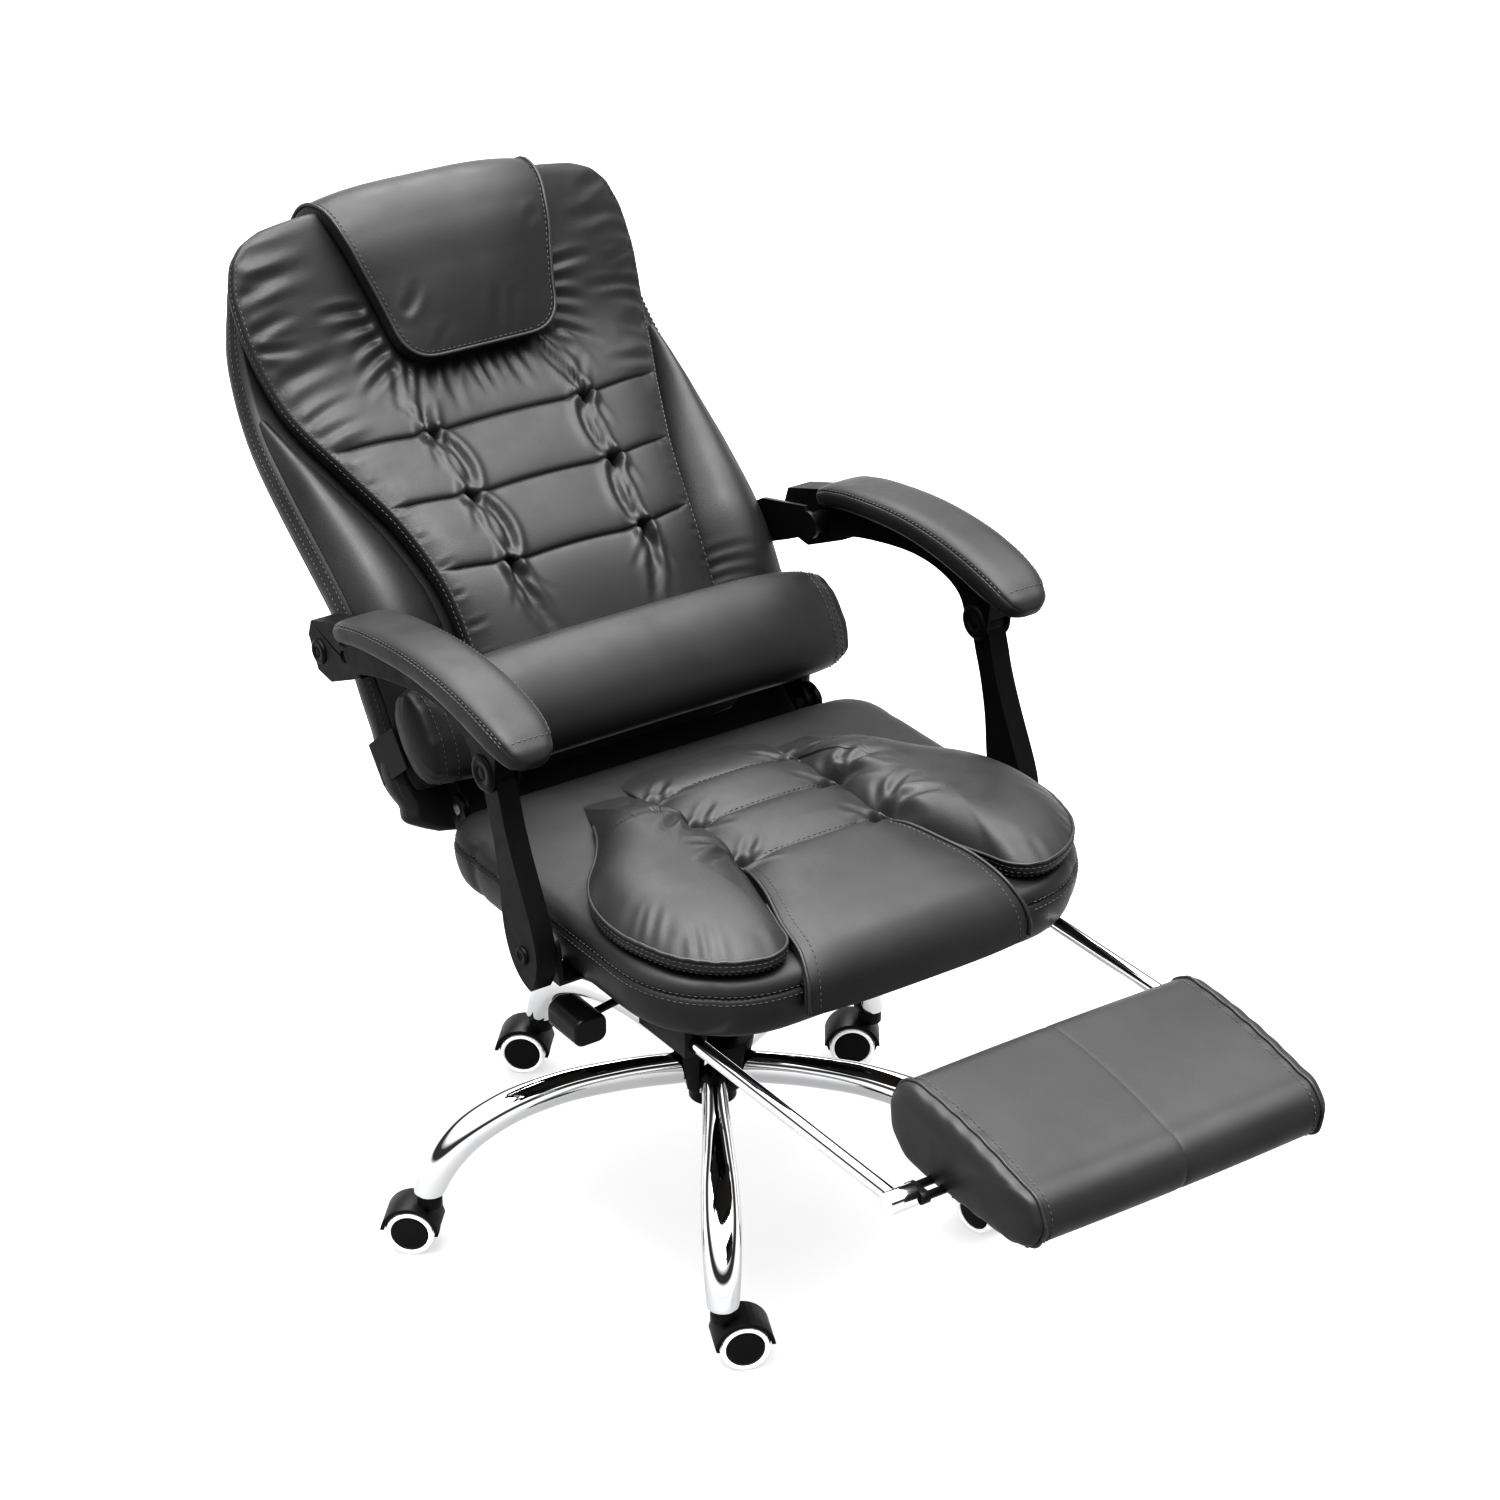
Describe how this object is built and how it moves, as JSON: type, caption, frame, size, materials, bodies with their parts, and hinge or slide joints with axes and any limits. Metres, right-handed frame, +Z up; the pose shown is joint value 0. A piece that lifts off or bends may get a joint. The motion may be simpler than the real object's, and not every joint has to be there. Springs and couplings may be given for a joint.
{
  "type": "reclining office chair",
  "caption": "Reclining office chair in tufted black leather with a lumbar roll, linked arms, a slide-out footrest, a gas lift and a chrome star base on casters.",
  "frame": {"origin": "on the floor under the axis of the gas lift", "axes": "+Z up, the chair faces -Y, +X is the sitter's left"},
  "size_m": [0.6705, 1.3666, 0.9802],
  "materials": {
    "black_leather": "satin grained",
    "arm_plastic": "satin moulded",
    "black_plastic": "moulded",
    "caster_wheel": "smooth",
    "chrome": "polished",
    "bright_steel": "ground",
    "black_steel": "powder coat",
    "plywood": "raw",
    "elastic_strap": "woven"
  },
  "bodies": {
    "base": {"base_star": "chrome", "hub_cover": "black_plastic", "lift_standpipe": "black_steel", "lift_guide_bush": "black_plastic", "lift_thrust_bearing": "bright_steel"},
    "lift_rod": {"lift_piston_rod": "bright_steel"},
    "seat": {"lift_cylinder": "bright_steel", "swivel_plate": "black_steel", "seat_board": "plywood", "seat_bolts": "bright_steel", "seat_base_cushion": "black_leather", "seat_centre_cushion": "black_leather", "seat_lobe_left": "black_leather", "seat_lobe_right": "black_leather", "seat_hinge_plates": "black_steel", "recline_lock": "black_steel", "pivot_pins": "bright_steel", "strut_brackets": "black_steel", "rail_guides": "black_plastic"},
    "back": {"back_board": "plywood", "back_shell": "black_leather", "back_cushion": "black_leather", "back_bolsters": "black_leather", "headrest_pillow": "black_leather", "lumbar_pillow": "black_leather", "lumbar_strap": "elastic_strap", "back_hinge_plates": "black_steel", "arm_brackets": "black_steel"},
    "arm_left": {"arm_frame_left": "arm_plastic", "arm_pad_left": "black_leather"},
    "arm_right": {"arm_frame_right": "arm_plastic", "arm_pad_right": "black_leather"},
    "strut_left": {"strut_left": "arm_plastic"},
    "strut_right": {"strut_right": "arm_plastic"},
    "footrest_frame": {"footrest_rails": "chrome", "footrest_knuckles": "chrome"},
    "footrest": {"footrest_pivot_bars": "black_steel", "footrest_board": "plywood", "footrest_pad": "black_leather"},
    "height_lever": {"height_lever": "black_steel", "height_paddle": "black_plastic"},
    "recline_lever": {"recline_lever": "black_steel", "recline_grip": "black_plastic"},
    "caster_a": {"caster_hood_a": "black_plastic"},
    "wheel_a_near": {"caster_wheel_a_near": "caster_wheel"},
    "wheel_a_far": {"caster_wheel_a_far": "caster_wheel"},
    "caster_b": {"caster_hood_b": "black_plastic"},
    "wheel_b_near": {"caster_wheel_b_near": "caster_wheel"},
    "wheel_b_far": {"caster_wheel_b_far": "caster_wheel"},
    "caster_c": {"caster_hood_c": "black_plastic"},
    "wheel_c_near": {"caster_wheel_c_near": "caster_wheel"},
    "wheel_c_far": {"caster_wheel_c_far": "caster_wheel"},
    "caster_d": {"caster_hood_d": "black_plastic"},
    "wheel_d_near": {"caster_wheel_d_near": "caster_wheel"},
    "wheel_d_far": {"caster_wheel_d_far": "caster_wheel"},
    "caster_e": {"caster_hood_e": "black_plastic"},
    "wheel_e_near": {"caster_wheel_e_near": "caster_wheel"},
    "wheel_e_far": {"caster_wheel_e_far": "caster_wheel"}
  },
  "joints": [
    {"name": "swivel", "type": "hinge", "parent": "base", "child": "lift_rod", "pos_m": [0, 0, 0.13], "axis": [0, 0, 1], "continuous": true},
    {"name": "lift", "type": "slide", "parent": "lift_rod", "child": "seat", "axis": [0, 0, 1], "range_m": [0, 0.09]},
    {"name": "recline", "type": "hinge", "parent": "seat", "child": "back", "pos_m": [0, 0.138, 0.458], "axis": [-1, 0, 0], "range_deg": [-25, 6]},
    {"name": "arm_left", "type": "hinge", "parent": "back", "child": "arm_left", "pos_m": [0.289, 0.194, 0.63], "axis": [-1, 0, 0], "range_deg": [-6, 25]},
    {"name": "arm_right", "type": "hinge", "parent": "back", "child": "arm_right", "pos_m": [-0.289, 0.194, 0.63], "axis": [-1, 0, 0], "range_deg": [-6, 25]},
    {"name": "strut_left", "type": "hinge", "parent": "seat", "child": "strut_left", "pos_m": [0.289, -0.126, 0.444], "axis": [-1, 0, 0], "range_deg": [-25, 6]},
    {"name": "strut_right", "type": "hinge", "parent": "seat", "child": "strut_right", "pos_m": [-0.289, -0.126, 0.444], "axis": [-1, 0, 0], "range_deg": [-25, 6]},
    {"name": "footrest_slide", "type": "slide", "parent": "seat", "child": "footrest_frame", "axis": [0, 1, 0], "range_m": [0, 0.3]},
    {"name": "footrest_flip", "type": "hinge", "parent": "footrest_frame", "child": "footrest", "pos_m": [0, -0.605, 0.398], "axis": [1, 0, 0], "range_deg": [0, 180]},
    {"name": "height_lever", "type": "hinge", "parent": "seat", "child": "height_lever", "pos_m": [-0.045, -0.132, 0.388], "axis": [0, 1, 0], "range_deg": [0, 6], "stiffness_Nm_per_rad": 1, "springref_deg": -5.73},
    {"name": "recline_lever", "type": "hinge", "parent": "seat", "child": "recline_lever", "pos_m": [0.2239, 0.138, 0.458], "axis": [-1, 0, 0], "range_deg": [0, 8], "stiffness_Nm_per_rad": 1, "springref_deg": -5.73},
    {"name": "caster_a", "type": "hinge", "parent": "base", "child": "caster_a", "pos_m": [0.2867, 0.11525, 0.068], "axis": [0, 0, 1], "continuous": true},
    {"name": "wheel_a_near", "type": "hinge", "parent": "caster_a", "child": "wheel_a_near", "pos_m": [0.27114, 0.12615, 0.025], "axis": [-0.5736, -0.8192, 0], "continuous": true},
    {"name": "wheel_a_far", "type": "hinge", "parent": "caster_a", "child": "wheel_a_far", "pos_m": [0.27114, 0.12615, 0.025], "axis": [-0.5736, -0.8192, 0], "continuous": true},
    {"name": "caster_b", "type": "hinge", "parent": "base", "child": "caster_b", "pos_m": [-0.02102, 0.30828, 0.068], "axis": [0, 0, 1], "continuous": true},
    {"name": "wheel_b_near", "type": "hinge", "parent": "caster_b", "child": "wheel_b_near", "pos_m": [-0.03536, 0.32075, 0.025], "axis": [-0.6561, -0.7547, 0], "continuous": true},
    {"name": "wheel_b_far", "type": "hinge", "parent": "caster_b", "child": "wheel_b_far", "pos_m": [-0.03536, 0.32075, 0.025], "axis": [-0.6561, -0.7547, 0], "continuous": true},
    {"name": "caster_c", "type": "hinge", "parent": "base", "child": "caster_c", "pos_m": [-0.29969, 0.07528, 0.068], "axis": [0, 0, 1], "continuous": true},
    {"name": "wheel_c_near", "type": "hinge", "parent": "caster_c", "child": "wheel_c_near", "pos_m": [-0.31403, 0.08774, 0.025], "axis": [-0.6561, -0.7547, 0], "continuous": true},
    {"name": "wheel_c_far", "type": "hinge", "parent": "caster_c", "child": "wheel_c_far", "pos_m": [-0.31403, 0.08774, 0.025], "axis": [-0.6561, -0.7547, 0], "continuous": true},
    {"name": "caster_d", "type": "hinge", "parent": "base", "child": "caster_d", "pos_m": [-0.1642, -0.26176, 0.068], "axis": [0, 0, 1], "continuous": true},
    {"name": "wheel_d_near", "type": "hinge", "parent": "caster_d", "child": "wheel_d_near", "pos_m": [-0.14685, -0.26949, 0.025], "axis": [0.4067, 0.9135, 0], "continuous": true},
    {"name": "wheel_d_far", "type": "hinge", "parent": "caster_d", "child": "wheel_d_far", "pos_m": [-0.14685, -0.26949, 0.025], "axis": [0.4067, 0.9135, 0], "continuous": true},
    {"name": "caster_e", "type": "hinge", "parent": "base", "child": "caster_e", "pos_m": [0.19821, -0.23705, 0.068], "axis": [0, 0, 1], "continuous": true},
    {"name": "wheel_e_near", "type": "hinge", "parent": "caster_e", "child": "wheel_e_near", "pos_m": [0.19491, -0.21834, 0.025], "axis": [-0.9848, -0.1736, 0], "continuous": true},
    {"name": "wheel_e_far", "type": "hinge", "parent": "caster_e", "child": "wheel_e_far", "pos_m": [0.19491, -0.21834, 0.025], "axis": [-0.9848, -0.1736, 0], "continuous": true}
  ],
  "couplings": [
    {"joint": "arm_left", "follows": "recline", "ratio": -1},
    {"joint": "arm_right", "follows": "recline", "ratio": -1},
    {"joint": "strut_left", "follows": "recline", "ratio": 1},
    {"joint": "strut_right", "follows": "recline", "ratio": 1},
    {"joint": "footrest_flip", "follows": "footrest_slide", "rad_per_m": 10.472}
  ]
}
